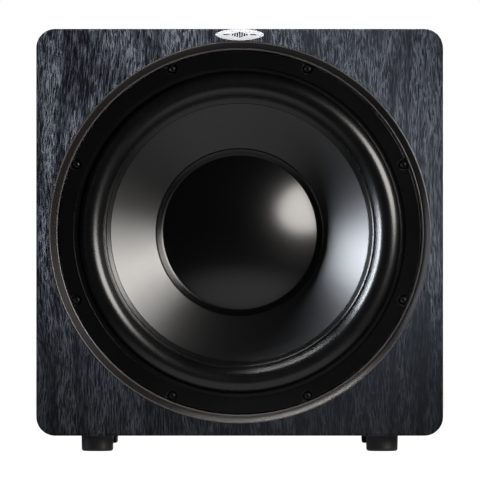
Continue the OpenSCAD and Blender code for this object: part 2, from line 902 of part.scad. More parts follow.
cabinet_shell();
front_baffle();
rear_panel();
window_brace();
damping_lining();
rubber_feet();
foot_washers();
foot_screws();
badge_plate();
badge_inlay();
trim_ring();
driver_gasket();
driver_basket();
surround();
gasket_ring();
cone();
dust_cap();
voice_coil_former();
voice_coil_winding();
spider();
top_plate();
magnet_rings();
yoke();
driver_screws();
tee_nuts();
terminal_block();
tinsel_leads();
speaker_wires();
wire_grommet();
amp_gasket();
amp_plate();
amp_screws();
heat_sink();
amp_backbox();
main_board();
board_standoffs();
transformer();
filter_capacitors();
power_transistors();
preamp_board();
volume_pot();
crossover_pot();
pot_nuts();
volume_shaft();
crossover_shaft();
volume_knob();
crossover_knob();
switch_bodies();
phase_slider();
mode_slider();
status_led();
rca_barrels();
rca_rings_white();
rca_rings_red();
rocker_housing();
power_rocker();
mains_inlet();
mains_pins();
fuse_drawer();
fuse();
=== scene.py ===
"""Visual model of a powered subwoofer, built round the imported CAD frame.

The front faces -Y. Lengths in profiles and radii are millimetres; boxes and places from the frame are metres."""

import json
import math

import bpy
import bmesh
import numpy as np
from mathutils import Matrix, Vector

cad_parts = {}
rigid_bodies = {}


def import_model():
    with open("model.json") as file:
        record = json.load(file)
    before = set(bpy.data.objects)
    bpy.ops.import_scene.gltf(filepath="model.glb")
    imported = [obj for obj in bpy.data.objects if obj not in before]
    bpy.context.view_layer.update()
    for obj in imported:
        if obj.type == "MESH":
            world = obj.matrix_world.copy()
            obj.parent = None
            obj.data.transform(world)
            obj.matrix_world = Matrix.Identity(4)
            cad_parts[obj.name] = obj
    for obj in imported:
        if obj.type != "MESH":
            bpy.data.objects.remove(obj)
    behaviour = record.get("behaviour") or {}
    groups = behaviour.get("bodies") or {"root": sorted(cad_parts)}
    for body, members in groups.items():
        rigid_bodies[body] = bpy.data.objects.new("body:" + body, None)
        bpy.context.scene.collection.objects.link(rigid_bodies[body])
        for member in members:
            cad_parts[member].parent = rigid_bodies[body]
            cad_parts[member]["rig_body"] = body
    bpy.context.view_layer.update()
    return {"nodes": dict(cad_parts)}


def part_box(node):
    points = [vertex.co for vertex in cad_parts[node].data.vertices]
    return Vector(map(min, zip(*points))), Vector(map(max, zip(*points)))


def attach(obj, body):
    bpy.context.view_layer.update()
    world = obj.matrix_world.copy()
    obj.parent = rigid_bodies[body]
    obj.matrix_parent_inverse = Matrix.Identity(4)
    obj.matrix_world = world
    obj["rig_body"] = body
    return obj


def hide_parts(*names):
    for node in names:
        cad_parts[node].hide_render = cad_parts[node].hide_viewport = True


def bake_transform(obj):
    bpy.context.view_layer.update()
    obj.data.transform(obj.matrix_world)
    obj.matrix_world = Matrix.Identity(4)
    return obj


MM = 0.001
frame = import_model()

# ---------------------------------------------------------------- places

baffle_lo, baffle_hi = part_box("front_baffle")
shell_lo, shell_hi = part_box("cabinet_shell")
FRONT = baffle_lo.y
SEAM = baffle_hi.y
BACK = shell_hi.y
HALF_W = shell_hi.x
HALF_H = (shell_hi.z - shell_lo.z) / 2
AXIS = Vector((0.0, FRONT, (shell_hi.z + shell_lo.z) / 2))
PLATE = Vector((0.0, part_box("amp_plate")[1].y, AXIS.z))

# The cabinet, in metres: the section's corner radius, the walls, and the rounding of the face's edge.
CORNER = 0.020
WALL = 0.018
EDGE = 0.0025

# The driver, in millimetres: radii from its axis, heights out of the baffle's face.
REBATE_R, REBATE_D = 202.1, 18.5
HOLE_R = 178.0
SEAT_Z = -13.0
CONE_R = 144.0
COIL_R, NECK_Z = 38.0, -86.0
CONE_SLOPE = (SEAT_Z - NECK_Z) / (CONE_R - COIL_R)


def driver_point(r, z, a):
    """A point r from the driver's axis, z out of the baffle's face, in millimetres."""
    return Vector((r * MM * math.cos(a), AXIS.y - z * MM, AXIS.z + r * MM * math.sin(a)))


def cone_z(r):
    """The height of the cone's face at radius r."""
    return SEAT_Z - (CONE_R - r) * CONE_SLOPE


# ---------------------------------------------------------------- meshes

POLE_R = 1e-6
LONG_RUN = 1.2
RUN_GAP = 0.15
WELD = 2e-6
FLAT_ANGLE = 0.6
REFINE_SHARP = 35.0


def add_object(name, data):
    ob = bpy.data.objects.new(name, data)
    bpy.context.scene.collection.objects.link(ob)
    return ob


def add_bmesh(name, bm):
    """Turns a bmesh into an object and frees it."""
    me = bpy.data.meshes.new(name)
    bm.to_mesh(me)
    bm.free()
    return add_object(name, me)


def new_mesh(name, verts, faces, sharp=32.0):
    me = bpy.data.meshes.new(name)
    me.from_pydata([tuple(v) for v in verts], [], faces)
    me.validate()
    ob = add_object(name, me)
    tidy_mesh(ob, sharp)
    return ob


def tidy_mesh(ob, sharp=32.0):
    """Normals outwards, smooth shading that breaks at sharp degrees, and flats that shade flat."""
    bm = bmesh.new()
    bm.from_mesh(ob.data)
    bmesh.ops.recalc_face_normals(bm, faces=bm.faces)
    bm.to_mesh(ob.data)
    bm.free()
    ob.data.shade_smooth()
    ob.data.set_sharp_from_angle(angle=math.radians(sharp))
    mod = ob.modifiers.new("flat", "WEIGHTED_NORMAL")
    mod.mode = "FACE_AREA"
    mod.keep_sharp = True
    bake_modifiers(ob)


def bake_modifiers(ob):
    bpy.context.view_layer.update()
    dg = bpy.context.evaluated_depsgraph_get()
    me = bpy.data.meshes.new_from_object(ob.evaluated_get(dg))
    old = ob.data
    ob.modifiers.clear()
    ob.data = me
    me.name = old.name


def support(profile, closed):
    """Adds points close to both ends of each long straight run, so its shading stays straight too."""
    out = []
    for (r0, z0), (r1, z1) in zip(profile, profile[1:] + (profile[:1] if closed else [])):
        out.append((r0, z0))
        length = math.hypot(r1 - r0, z1 - z0)
        if length > LONG_RUN:
            inner = RUN_GAP / length
            for t in (inner, 0.35, 0.65, 1 - inner):
                out.append((r0 + (r1 - r0) * t, z0 + (z1 - z0) * t))
    return out if closed else out + [profile[-1]]


def soften(points, radii, steps):
    """Rounds the corners of a closed outline. radii has one number for each corner."""
    out = []
    for i, (p, r) in enumerate(zip(points, radii)):
        p = Vector(p)
        a, b = Vector(points[i - 1]) - p, Vector(points[(i + 1) % len(points)]) - p
        la, lb = a.length, b.length
        a, b = a / la, b / lb
        half = math.acos(max(-1, min(1, a.dot(b)))) / 2
        d = min(r / math.tan(half), la * 0.48, lb * 0.48)
        start, end = p + a * d, p + b * d
        for k in range(steps + 1):
            t = k / steps
            out.append(tuple(start * (1 - t) ** 2 + p * 2 * t * (1 - t) + end * t * t))
    return out


def arc(cx, cz, r, a0, a1, n):
    """Points on an arc, angles in degrees from +r towards +z."""
    angles = [math.radians(a0 + (a1 - a0) * i / n) for i in range(n + 1)]
    return [(cx + r * math.cos(a), cz + r * math.sin(a)) for a in angles]


def turn_profile(profile, seg, closed, point, first=0):
    """Vertices and faces of a profile turned about an axis, numbered from first.

    point(r, z, angle) gives a place. A profile point at r 0 becomes a pole."""
    verts, rows, faces = [], [], []
    for r, z in profile:
        base = first + len(verts)
        if r < POLE_R:
            rows.append([base] * seg)
            verts.append(point(0, z, 0))
        else:
            rows.append([base + k for k in range(seg)])
            verts += [point(r, z, 2 * math.pi * k / seg) for k in range(seg)]
    for lo, hi in list(zip(rows, rows[1:])) + ([(rows[-1], rows[0])] if closed else []):
        for k in range(seg):
            m = (k + 1) % seg
            corners = list(dict.fromkeys((lo[k], lo[m], hi[m], hi[k])))
            if len(corners) > 2:
                faces.append(corners)
    return verts, faces


def lathe(name, profile, seg=384, closed=True, sharp=32.0):
    """A profile turned about the driver's axis."""
    return new_mesh(name, *turn_profile(support(profile, closed), seg, closed, driver_point), sharp)


def turned(name, profile, centres, axis, seg):
    """The same closed profile turned about axis at each centre, as one mesh."""
    axis = Vector(axis).normalized()
    side = axis.orthogonal().normalized()
    other = axis.cross(side)
    verts, faces = [], []
    for centre in centres:

        def point(r, z, t):
            return Vector(centre) + axis * z * MM + (side * math.cos(t) + other * math.sin(t)) * r * MM

        more_verts, more_faces = turn_profile(profile, seg, True, point, len(verts))
        verts += more_verts
        faces += more_faces
    return new_mesh(name, verts, faces)


def cut_away(ob, cutter):
    mod = ob.modifiers.new("cut", "BOOLEAN")
    mod.operation = "DIFFERENCE"
    mod.solver = "EXACT"
    mod.object = cutter
    bake_modifiers(ob)
    bpy.data.objects.remove(cutter)


def prism(name, outline, z0, z1):
    """A flat outline in the driver's plane (x, height above the axis, mm), from z0 to z1 out of the face."""
    n = len(outline)
    verts = [(x * MM, AXIS.y - z * MM, AXIS.z + h * MM) for z in (z0, z1) for x, h in outline]
    faces = [list(range(n)), list(range(n, 2 * n))]
    faces += [[i, (i + 1) % n, n + (i + 1) % n, n + i] for i in range(n)]
    return new_mesh(name, verts, faces)


def place(ob, body, node, *looks):
    """Rides on a body, hides the CAD node it stands for, and wears the looks."""
    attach(ob, body)
    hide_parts(node)
    for look in looks:
        ob.data.materials.append(look)
    return ob


def refine(node, name, body, width, look):
    """A finished copy of a CAD node: welded, its edges broken by width mm, smooth where it should be."""
    ob = add_object(name, frame["nodes"][node].data.copy())
    ob.data.name = name
    ob.data.materials.clear()
    bm = bmesh.new()
    bm.from_mesh(ob.data)
    bmesh.ops.remove_doubles(bm, verts=bm.verts, dist=WELD)
    bmesh.ops.dissolve_limit(
        bm, angle_limit=math.radians(FLAT_ANGLE), verts=bm.verts, edges=bm.edges, use_dissolve_boundaries=False
    )
    bmesh.ops.recalc_face_normals(bm, faces=bm.faces)
    bm.to_mesh(ob.data)
    bm.free()
    if width > 0:
        mod = ob.modifiers.new("edge", "BEVEL")
        mod.width = width * MM
        mod.segments = 2
        mod.limit_method = "ANGLE"
        mod.angle_limit = math.radians(REFINE_SHARP)
        mod.use_clamp_overlap = True
        mod.harden_normals = False
        bake_modifiers(ob)
    tidy_mesh(ob, REFINE_SHARP)
    return place(ob, body, node, look)


# ---------------------------------------------------------------- materials


class Look:
    """A small node-graph builder for one procedural material."""

    def __init__(self, name):
        self.mat = bpy.data.materials.new(name)
        self.mat.use_nodes = True
        self.tree = self.mat.node_tree
        self.tree.nodes.clear()
        self.out = self.tree.nodes.new("ShaderNodeOutputMaterial")
        self.bsdf = self.tree.nodes.new("ShaderNodeBsdfPrincipled")
        self.tree.links.new(self.bsdf.outputs[0], self.out.inputs[0])
        self.coord = self.tree.nodes.new("ShaderNodeTexCoord").outputs["Object"]

    def put(self, socket, value):
        """Links a socket, or sets its value: one number fills a vector, three numbers a colour."""
        if isinstance(value, bpy.types.NodeSocket):
            self.tree.links.new(value, socket)
        elif value is not None:
            if hasattr(socket.default_value, "__len__") and not hasattr(value, "__len__"):
                value = (value,) * len(socket.default_value)
            elif hasattr(value, "__len__") and len(value) == 3 and len(socket.default_value) == 4:
                value = (*value, 1.0)
            socket.default_value = value

    def set(self, **inputs):
        for key, value in inputs.items():
            self.put(self.bsdf.inputs[key.replace("_", " ")], value)

    def math(self, op, a, b=None, c=None):
        n = self.tree.nodes.new("ShaderNodeMath")
        n.operation = op
        for socket, value in zip(n.inputs, (a, b, c)):
            self.put(socket, value)
        return n.outputs[0]

    def plus(self, a, b):
        return self.math("ADD", a, b)

    def times(self, a, b):
        return self.math("MULTIPLY", a, b)

    def vector_math(self, op, a, b):
        n = self.tree.nodes.new("ShaderNodeVectorMath")
        n.operation = op
        self.put(n.inputs[0], a)
        self.put(n.inputs[1], b)
        return n.outputs

    def noise(self, scale, detail=3.0, rough=0.5, vector=None):
        n = self.tree.nodes.new("ShaderNodeTexNoise")
        self.put(n.inputs["Vector"], self.coord if vector is None else vector)
        for key, value in (("Scale", scale), ("Detail", detail), ("Roughness", rough)):
            self.put(n.inputs[key], value)
        return n.outputs[0]

    def span(self, value, lo, hi, out_lo=0.0, out_hi=1.0):
        """A smooth step from out_lo to out_hi as value goes from lo to hi."""
        n = self.tree.nodes.new("ShaderNodeMapRange")
        n.interpolation_type = "SMOOTHSTEP"
        for socket, v in zip(n.inputs, (value, lo, hi, out_lo, out_hi)):
            self.put(socket, v)
        return n.outputs[0]

    def mix(self, factor, a, b):
        n = self.tree.nodes.new("ShaderNodeMix")
        n.data_type = "RGBA"
        self.put(n.inputs[0], factor)
        self.put(n.inputs[6], a)
        self.put(n.inputs[7], b)
        return n.outputs[2]

    def bump(self, height, distance_mm, strength):
        n = self.tree.nodes.new("ShaderNodeBump")
        self.put(n.inputs["Strength"], strength)
        self.put(n.inputs["Distance"], distance_mm * MM)
        self.put(n.inputs["Height"], height)
        return n.outputs[0]

    def join(self, x, y, z):
        n = self.tree.nodes.new("ShaderNodeCombineXYZ")
        for socket, v in zip(n.inputs, (x, y, z)):
            self.put(socket, v)
        return n.outputs[0]

    def edge(self, radius_mm):
        """1 on edges and corners, 0 on flat ground: where the bevelled normal leaves the true one."""
        b = self.tree.nodes.new("ShaderNodeBevel")
        b.samples = 4
        self.put(b.inputs["Radius"], radius_mm * MM)
        g = self.tree.nodes.new("ShaderNodeNewGeometry")
        same = self.vector_math("DOT_PRODUCT", b.outputs[0], g.outputs["Normal"])["Value"]
        return self.span(self.math("SUBTRACT", 1.0, same), 0.02, 0.25)


def simple(name, base, rough, grain, *, worn=None, wear_mm=0.4, metallic=0.0, blotch=14.0, vary=0.25,
           grain_mm=0.03, rough_vary=0.07, specular=0.5, streak=None):
    """A material with blotchy colour, roughness that varies with it, fine grain as bump, and worn edges.

    grain and blotch are counts per metre; streak stretches the grain along one axis."""
    look = Look(name)
    vector = None if streak is None else look.vector_math("MULTIPLY", look.coord, streak)["Vector"]
    fine = look.noise(grain, 3.0, 0.6, vector)
    broad = look.noise(blotch, 4.0, 0.55)
    dark = tuple(c * (1 - vary) for c in base)
    light = tuple(min(1.0, c * (1 + vary)) for c in base)
    speck = tuple(min(1, c * 1.5) for c in base)
    colour = look.mix(look.span(broad, 0.3, 0.7), dark, light)
    colour = look.mix(look.times(look.span(fine, 0.45, 0.75), 0.25), colour, speck)
    if worn is not None:
        patchy = look.span(look.noise(90.0, 4.0, 0.7), 0.42, 0.68)
        colour = look.mix(look.times(look.edge(wear_mm), patchy), colour, worn)
    spread = look.plus(look.times(broad, rough_vary), look.times(fine, rough_vary))
    look.set(
        Base_Color=colour,
        Roughness=look.plus(spread, rough - rough_vary),
        Metallic=metallic,
        Normal=look.bump(fine, grain_mm, 0.6),
        Specular_IOR_Level=specular,
    )
    return look.mat


ASH_GROUND = (0.0014, 0.0016, 0.0024)
ASH_CREST = (0.0150, 0.0172, 0.0218)
ASH_FLECK = (0.048, 0.054, 0.068)
ASH_VEIN = (0.062, 0.069, 0.083)
ASH_PORE = (0.0010, 0.0011, 0.0016)
# The flat tone of the painted shading that evens the grain out to the right and low down.
ASH_PAINTED_FALLOFF_TONE = (0.0098, 0.0112, 0.0140)


def black_ash(name):
    """Embossed black ash vinyl. The mesh's "grain" map gives metres across the grain and along it.

    Two noises bend the grain. Streaks of three widths make the ridges, flecks and pores. The veins are
    the contour lines of a fourth. A painted shading evens all of it out to the right and low down, as in the photo,
    in place of the lights' falloff there."""
    look = Look(name)
    uv = look.tree.nodes.new("ShaderNodeUVMap")
    uv.uv_map = "grain"
    parts = look.tree.nodes.new("ShaderNodeSeparateXYZ")
    look.put(parts.inputs[0], uv.outputs[0])
    across, along, _ = parts.outputs

    def stretched(x, per_m, along_per_m, seed, detail, rough):
        vector = look.join(look.times(x, per_m), look.times(along, along_per_m), seed)
        return look.noise(1.0, detail, rough, vector)

    wander = stretched(across, 16.0, 5.0, 0.0, 3.0, 0.5)
    lean = stretched(across, 5.0, 2.2, 7.0, 2.0, 0.5)
    x = look.plus(across, look.plus(look.times(wander, 0.014), look.times(lean, 0.05)))

    def streaks(per_m, length_m, seed, detail=2.0):
        return stretched(x, per_m, 1.0 / length_m, seed, detail, 0.55)

    wide = streaks(560.0, 0.024, 1.3)
    thin = streaks(1080.0, 0.013, 4.1)
    hair = streaks(2100.0, 0.007, 9.7, 1.0)
    board = stretched(x, 70.0, 6.0, 2.0, 2.0, 0.5)
    mixed = look.plus(look.times(wide, 0.45), look.times(thin, 0.55))
    mixed = look.plus(mixed, look.times(look.math("SUBTRACT", board, 0.5), 0.14))
    ridge = look.span(mixed, 0.45, 0.60)
    contour = look.math("ABSOLUTE", look.math("SUBTRACT", streaks(430.0, 0.019, 6.6), 0.5))
    vein = look.times(look.span(contour, 0.01, 0.075, 1.0, 0.0), look.span(board, 0.38, 0.56))
    pore = look.span(thin, 0.36, 0.46, 1.0, 0.0)
    fleck = look.times(look.times(look.span(hair, 0.5, 0.7), ridge), 0.5)
    # Painted shading: to the right and low down the grain's colour evens out towards one flat tone, standing in for
    # the lights' falloff.
    painted_light_falloff = look.plus(look.span(across, -0.12, 0.10, 0.0, 0.42), look.span(along, 0.19, 0.07, 0.0, 0.40))

    colour = look.mix(look.span(mixed, 0.43, 0.66), ASH_GROUND, ASH_CREST)
    colour = look.mix(fleck, colour, ASH_FLECK)
    colour = look.mix(look.times(vein, 0.62), colour, ASH_VEIN)
    colour = look.mix(pore, colour, ASH_PORE)
    colour = look.mix(look.math("MINIMUM", painted_light_falloff, 0.7), colour, ASH_PAINTED_FALLOFF_TONE)
    height = look.plus(look.times(ridge, 0.6), look.times(fleck, 0.2))
    height = look.plus(height, look.times(vein, 0.5))
    height = look.math("SUBTRACT", height, look.times(pore, 0.3))
    look.set(
        Base_Color=colour,
        Roughness=look.span(ridge, 0.0, 1.0, 0.5, 0.30),
        Normal=look.bump(height, 0.26, 1.0),
        Specular_IOR_Level=look.span(ridge, 0.0, 1.0, 0.06, 0.32),
    )
    return look.mat


# ---------------------------------------------------------------- cabinet

SIDE_STEPS = 30
CORNER_STEPS = 12
DEPTH_STEPS = 12
INNER_CORNER = 0.005
SEAM_GAP = 0.0005
REAR_EDGE = 0.0015


def outline(half_w, half_h, r):
    """Round the cabinet's section: (x, z, nx, nz, metres along), from the right side over the top."""
    ends = []
    for sx, sz, a0 in ((1, 1, 0), (-1, 1, 90), (-1, -1, 180), (1, -1, 270)):
        cx, cz = sx * (half_w - r), sz * (half_h - r)
        for k in range(CORNER_STEPS + 1):
            a = math.radians(a0 + 90 * k / CORNER_STEPS)
            ends.append((cx + r * math.cos(a), cz + r * math.sin(a), math.cos(a), math.sin(a)))
    pts = []
    for i, (x, z, nx, nz) in enumerate(ends):
        pts.append((x, z, nx, nz))
        if i % (CORNER_STEPS + 1) == CORNER_STEPS:
            x2, z2, _, _ = ends[(i + 1) % len(ends)]
            for k in range(1, SIDE_STEPS):
                t = k / SIDE_STEPS
                pts.append((x + (x2 - x) * t, z + (z2 - z) * t, nx, nz))
    out, s = [], 0.0
    for i, p in enumerate(pts):
        if i:
            s += math.hypot(p[0] - pts[i - 1][0], p[1] - pts[i - 1][1])
        out.append((*p, s))
    return out


def skin(name, rows, uv_rows, lap=0.0):
    """Joins closed rows of points into a tube that closes on itself, with a grain map in metres.

    lap is how far the map runs along the grain in one trip round a row."""
    n = len(rows[0])
    faces, uvs = [], []
    for i in range(len(rows)):
        j = (i + 1) % len(rows)
        a, b = uv_rows[i], uv_rows[j]
        for k in range(n):
            m = (k + 1) % n
            more = lap if m == 0 else 0.0
            faces.append([i * n + k, i * n + m, j * n + m, j * n + k])
            uvs += [a[k], (a[m][0], a[m][1] + more), (b[m][0], b[m][1] + more), b[k]]
    me = bpy.data.meshes.new(name)
    me.from_pydata([tuple(p) for row in rows for p in row], [], faces)
    layer = me.uv_layers.new(name="grain")
    layer.data.foreach_set("uv", [c for uv in uvs for c in uv])
    ob = add_object(name, me)
    tidy_mesh(ob)
    return ob


def cabinet_wrap():
    """The four walls behind the seam, outside, round the rear edge and inside."""
    outer = outline(HALF_W, HALF_H, CORNER)
    inner = outline(HALF_W - WALL, HALF_H - WALL, INNER_CORNER)
    lap = outer[-1][4] + (2 * (HALF_H - CORNER)) / SIDE_STEPS
    rows, uvs = [], []

    def row(y, inset):
        rows.append([Vector((x - nx * inset, y, AXIS.z + z - nz * inset)) for x, z, nx, nz, _ in outer])
        uvs.append([(y + inset, p[4]) for p in outer])

    def inner_row(y, shift):
        rows.append([Vector((p[0], y, AXIS.z + p[1])) for p in inner])
        uvs.append([(y + shift, p[4]) for p in outer])

    row(SEAM, SEAM_GAP * 2)
    row(SEAM + SEAM_GAP * 0.3, SEAM_GAP * 0.6)
    row(SEAM + SEAM_GAP * 1.4, 0.0)
    for k in range(1, DEPTH_STEPS):
        row(SEAM + (BACK - SEAM) * k / DEPTH_STEPS, 0.0)
    for k in range(5):
        a = math.radians(90 * k / 4)
        row(BACK - REAR_EDGE + REAR_EDGE * math.sin(a), REAR_EDGE * (1 - math.cos(a)))
    inner_row(BACK, WALL)
    inner_row(SEAM, 2 * WALL)
    return skin("Cabinet_wrap", rows, uvs, lap)


def baffle_face():
    """The front panel: the driver's rebate, the face, its rounded edge, the seam and the cut-out."""
    ring = outline(HALF_W, HALF_H, CORNER)
    angles = [math.atan2(p[1], p[0]) for p in ring]
    rows, uvs = [], []

    def flat_row(points):
        rows.append(points)
        uvs.append([(v.x, v.z) for v in points])

    def circle_row(r, z):
        flat_row([driver_point(r, z, a) for a in angles])

    def face_row(t):
        """A row a share t of the way from the rebate to the rounded edge."""
        starts = [driver_point(REBATE_R + 0.5, 0, a) for a in angles]
        ends = [Vector((x - nx * EDGE, FRONT, AXIS.z + z - nz * EDGE)) for x, z, nx, nz, _ in ring]
        flat_row([p0.lerp(p1, t) for p0, p1 in zip(starts, ends)])

    def edge_row(z, inset):
        d = -z * MM
        rows.append([Vector((x - nx * inset, FRONT + d, AXIS.z + h - nz * inset)) for x, h, nx, nz, _ in ring])
        uvs.append([(x + nx * d, AXIS.z + h + nz * d) for x, h, nx, nz, _ in ring])

    circle_row(REBATE_R, -REBATE_D)
    circle_row(REBATE_R, -0.5)
    circle_row(REBATE_R + 0.15, -0.12)
    for t in (0.0, 0.15, 0.4, 0.7, 1.0):
        face_row(t)
    for k in range(1, 7):
        a = math.radians(90 * k / 6)
        edge_row(-EDGE / MM * (1 - math.cos(a)), EDGE * (1 - math.sin(a)))
    depth = (SEAM - FRONT) / MM
    edge_row(-depth * 0.5, 0.0)
    edge_row(-depth + 0.7, 0.0)
    edge_row(-depth + 0.15, 0.0003)
    edge_row(-depth, 0.001)
    circle_row(HOLE_R, -depth)
    circle_row(HOLE_R, -REBATE_D)
    return skin("Baffle_face", rows, uvs)


vinyl = black_ash("black_ash_vinyl")
wrap = place(cabinet_wrap(), "enclosure", "cabinet_shell", vinyl)
face = place(baffle_face(), "enclosure", "front_baffle", vinyl)

# ---------------------------------------------------------------- driver

# The trim: a bevelled ring with a bead along its outer and inner lips; the beads' paler colour is a painted
# highlight, the bright lines of light along them.
TRIM_IN, TRIM_OUT = 193.3, 202.0
OUTER_BEAD, INNER_BEAD = 0.85, 1.15
INNER_LIP, OUTER_LIP = 194.75, (200.35, 201.9)
trim_look = simple(
    "trim_paint", (0.0080, 0.0068, 0.0066), 0.30, 900.0,
    grain_mm=0.008, worn=(0.06, 0.055, 0.053), wear_mm=0.4, vary=0.15,
)
lip_painted_highlight = simple(
    "trim_lip_painted_highlight", (0.068, 0.061, 0.064), 0.30, 1100.0,
    grain_mm=0.006, worn=(0.16, 0.15, 0.155), wear_mm=0.5, vary=0.2,
)
trim = lathe(
    "Trim_bevel",
    [(TRIM_IN, -REBATE_D), (TRIM_OUT, -REBATE_D), (TRIM_OUT, -0.5)]
    + arc(201.15, -0.5, OUTER_BEAD, 0, 200, 14)
    + arc(193.95, -7.5, INNER_BEAD, 48, 180, 12)
    + [(TRIM_IN, -9.0)],
    sharp=50,
)
place(trim, "enclosure", "trim_ring", trim_look, lip_painted_highlight)
# The beads' bands take the second material, the painted highlight.
for poly in trim.data.polygons:
    r = math.hypot(poly.center.x, poly.center.z - AXIS.z) / MM
    poly.material_index = int(r < INNER_LIP or OUTER_LIP[0] < r < OUTER_LIP[1])

# The gasket trim: a flat ring with a step at its back and a notch round each bolt.
BOLTS, BOLT_R = 8, 187.0
bolt_angles = [2 * math.pi * (i + 0.5) / BOLTS for i in range(BOLTS)]
NOTCH_R = 5.9
NOTCH_MOUTH = [(10.0, -6.6), (10.0, 6.6)]
rubber = simple(
    "ring_rubber", (0.0010, 0.0011, 0.0014), 0.27, 1400.0,
    grain_mm=0.006, vary=0.3, rough_vary=0.05, specular=0.3,
)
gasket = lathe(
    "Gasket_trim",
    soften(
        [(175.4, -11.75), (180.8, -11.75), (180.8, SEAT_Z), (191.2, SEAT_Z), (191.2, -8.5), (175.4, -8.5)],
        [0.3, 0.1, 0.1, 0.3, 0.5, 0.35], 6,
    ),
)
for a in bolt_angles:
    c, s = math.cos(a), math.sin(a)
    notch = arc(0, 0, NOTCH_R, 90, 270, 18) + NOTCH_MOUTH
    turned_out = [(BOLT_R * c + x * c - y * s, BOLT_R * s + x * s + y * c) for x, y in notch]
    cut_away(gasket, prism("cutter", turned_out, -14.0, -7.0))
tidy_mesh(gasket, 30)
place(gasket, "enclosure", "gasket_ring", rubber)

# The roll, its glue flange on the cone and its flat edge on the basket, turned as one skin.
# Its inner flank is flatter than its outer one: an arc of INNER_A, then straight at WALL_SLOPE degrees.
ROLL_R, ROLL_A, ROLL_Z, SKIN = 158.7, 12.7, SEAT_Z - 2.0, 1.2
WALL_SLOPE, WALL_CURVE = 42.5, 3.0
INNER_A = 14.2
FLANGE_R = 136.3
WALL_FOOT_R = 144.9
ROLL_EDGE_R = 180.4


def surround_profile():
    flange = [(FLANGE_R, 0.2), (136.4, 0.6), (136.7, 0.78), (137.0, 0.8), (140.7, 0.8)]
    bead = [(141.1, 0.84), (141.6, 1.02), (142.1, 1.1), (142.5, 1.0), (142.8, 0.75)]
    on_cone = [(r, cone_z(r) + lift) for r, lift in flange + bead]
    groove = [(143.2, SEAT_Z + 0.2), (143.6, SEAT_Z + 0.05), (144.1, SEAT_Z + 0.1), (144.5, SEAT_Z + 0.6)]
    inner_z = ROLL_Z + ROLL_A - INNER_A
    inner = arc(ROLL_R, inner_z, INNER_A, 90 + WALL_SLOPE, 90, 26)[:-1]
    outer = arc(ROLL_R, ROLL_Z, ROLL_A, 90, 16, 30)
    foot_r, foot_z = inner[0]
    run = foot_r - WALL_FOOT_R
    wall = []
    for t in (1.0, 0.75, 0.5, 0.25):
        slope = math.tan(math.radians(WALL_SLOPE + WALL_CURVE * t))
        wall.append((foot_r - run * t, foot_z - run * t * slope))
    top, roll_end = SEAT_Z + SKIN, ROLL_R + ROLL_A
    flat = [(roll_end - 0.2, top), (ROLL_EDGE_R, top), (ROLL_EDGE_R, SEAT_Z), (roll_end - 0.5, SEAT_Z)]
    under = arc(ROLL_R, ROLL_Z, ROLL_A - SKIN, 16, 90, 30)
    under += arc(ROLL_R, inner_z, INNER_A - SKIN, 91, 90 + WALL_SLOPE, 20)
    back = [(145.6, SEAT_Z + 0.1), (144.3, SEAT_Z - 0.6), (143.9, SEAT_Z + 0.03)]
    back += [(FLANGE_R, cone_z(FLANGE_R) + 0.06)]
    return on_cone + groove + wall + inner + outer + flat + under + back


def radial_blend(ob, inner_r, outer_r, z=0):
    """Bakes the piece's place into its mesh; the points at inner_r and outer_r, z out of the face, are worked out
    and not used.
    """
    start, end = driver_point(outer_r, z, 0), driver_point(inner_r, z, 0)
    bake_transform(ob)
    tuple(start)
    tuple(end)


surround = lathe("Surround_roll", surround_profile(), sharp=50)
surround.data.materials.append(
    simple(
        "surround_rubber", (0.0012, 0.0013, 0.0015), 0.27, 1800.0,
        grain_mm=0.004, vary=0.3, rough_vary=0.05, blotch=30.0,
    )
)
radial_blend(surround, 145.0, 172.0)
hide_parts("surround")

CONE_T = 1.8
cone_look = simple(
    "cone_poly", (0.0016, 0.0016, 0.0018), 0.31, 1500.0,
    grain_mm=0.010, vary=0.15, rough_vary=0.05, specular=0.62, blotch=25.0,
)
cone_in, cone_out = COIL_R + 0.1, CONE_R - 0.1
cone_profile = soften(
    [(cone_in, NECK_Z), (cone_out, SEAT_Z), (cone_out, SEAT_Z - CONE_T), (cone_in, NECK_Z - CONE_T)], [0.2] * 4, 3
)
cone = place(lathe("Cone_body", cone_profile), "moving_assembly", "cone", cone_look)

CAP_R, CAP_RISE, CAP_T = 82.8, 20.0, 1.2
CAP_FLANGE_R = 88.7
CAP_BASE = cone_z(CAP_R)
DOME_R = (CAP_R**2 + CAP_RISE**2) / (2 * CAP_RISE)


def cap_profile():
    """The dome, its glue flange on the cone, and the inside."""
    edge = math.degrees(math.asin(CAP_R / DOME_R))
    cz = CAP_BASE + 0.1 + CAP_RISE - DOME_R
    dome = arc(0, cz, DOME_R, 90, 90 - edge * 0.985, 34)
    r1, z1 = CAP_FLANGE_R, cone_z(CAP_FLANGE_R)
    lip = [(CAP_R + 0.5, CAP_BASE + 1.25), (r1 - 0.5, z1 + 1.15), (r1 - 0.05, z1 + 0.75), (r1, z1 + 0.1)]
    back = [(CAP_R, CAP_BASE + 0.1)]
    inside = arc(0, cz, DOME_R - CAP_T, 90 - edge * 0.96, 90, 20)
    return dome + lip + back + inside


cap_look = simple(
    "cap_poly", (0.0004, 0.0004, 0.0005), 0.225, 1500.0,
    grain_mm=0.009, vary=0.15, rough_vary=0.04, specular=0.58, blotch=25.0,
)
place(lathe("Dust_dome", cap_profile(), closed=False), "moving_assembly", "dust_cap", cap_look)

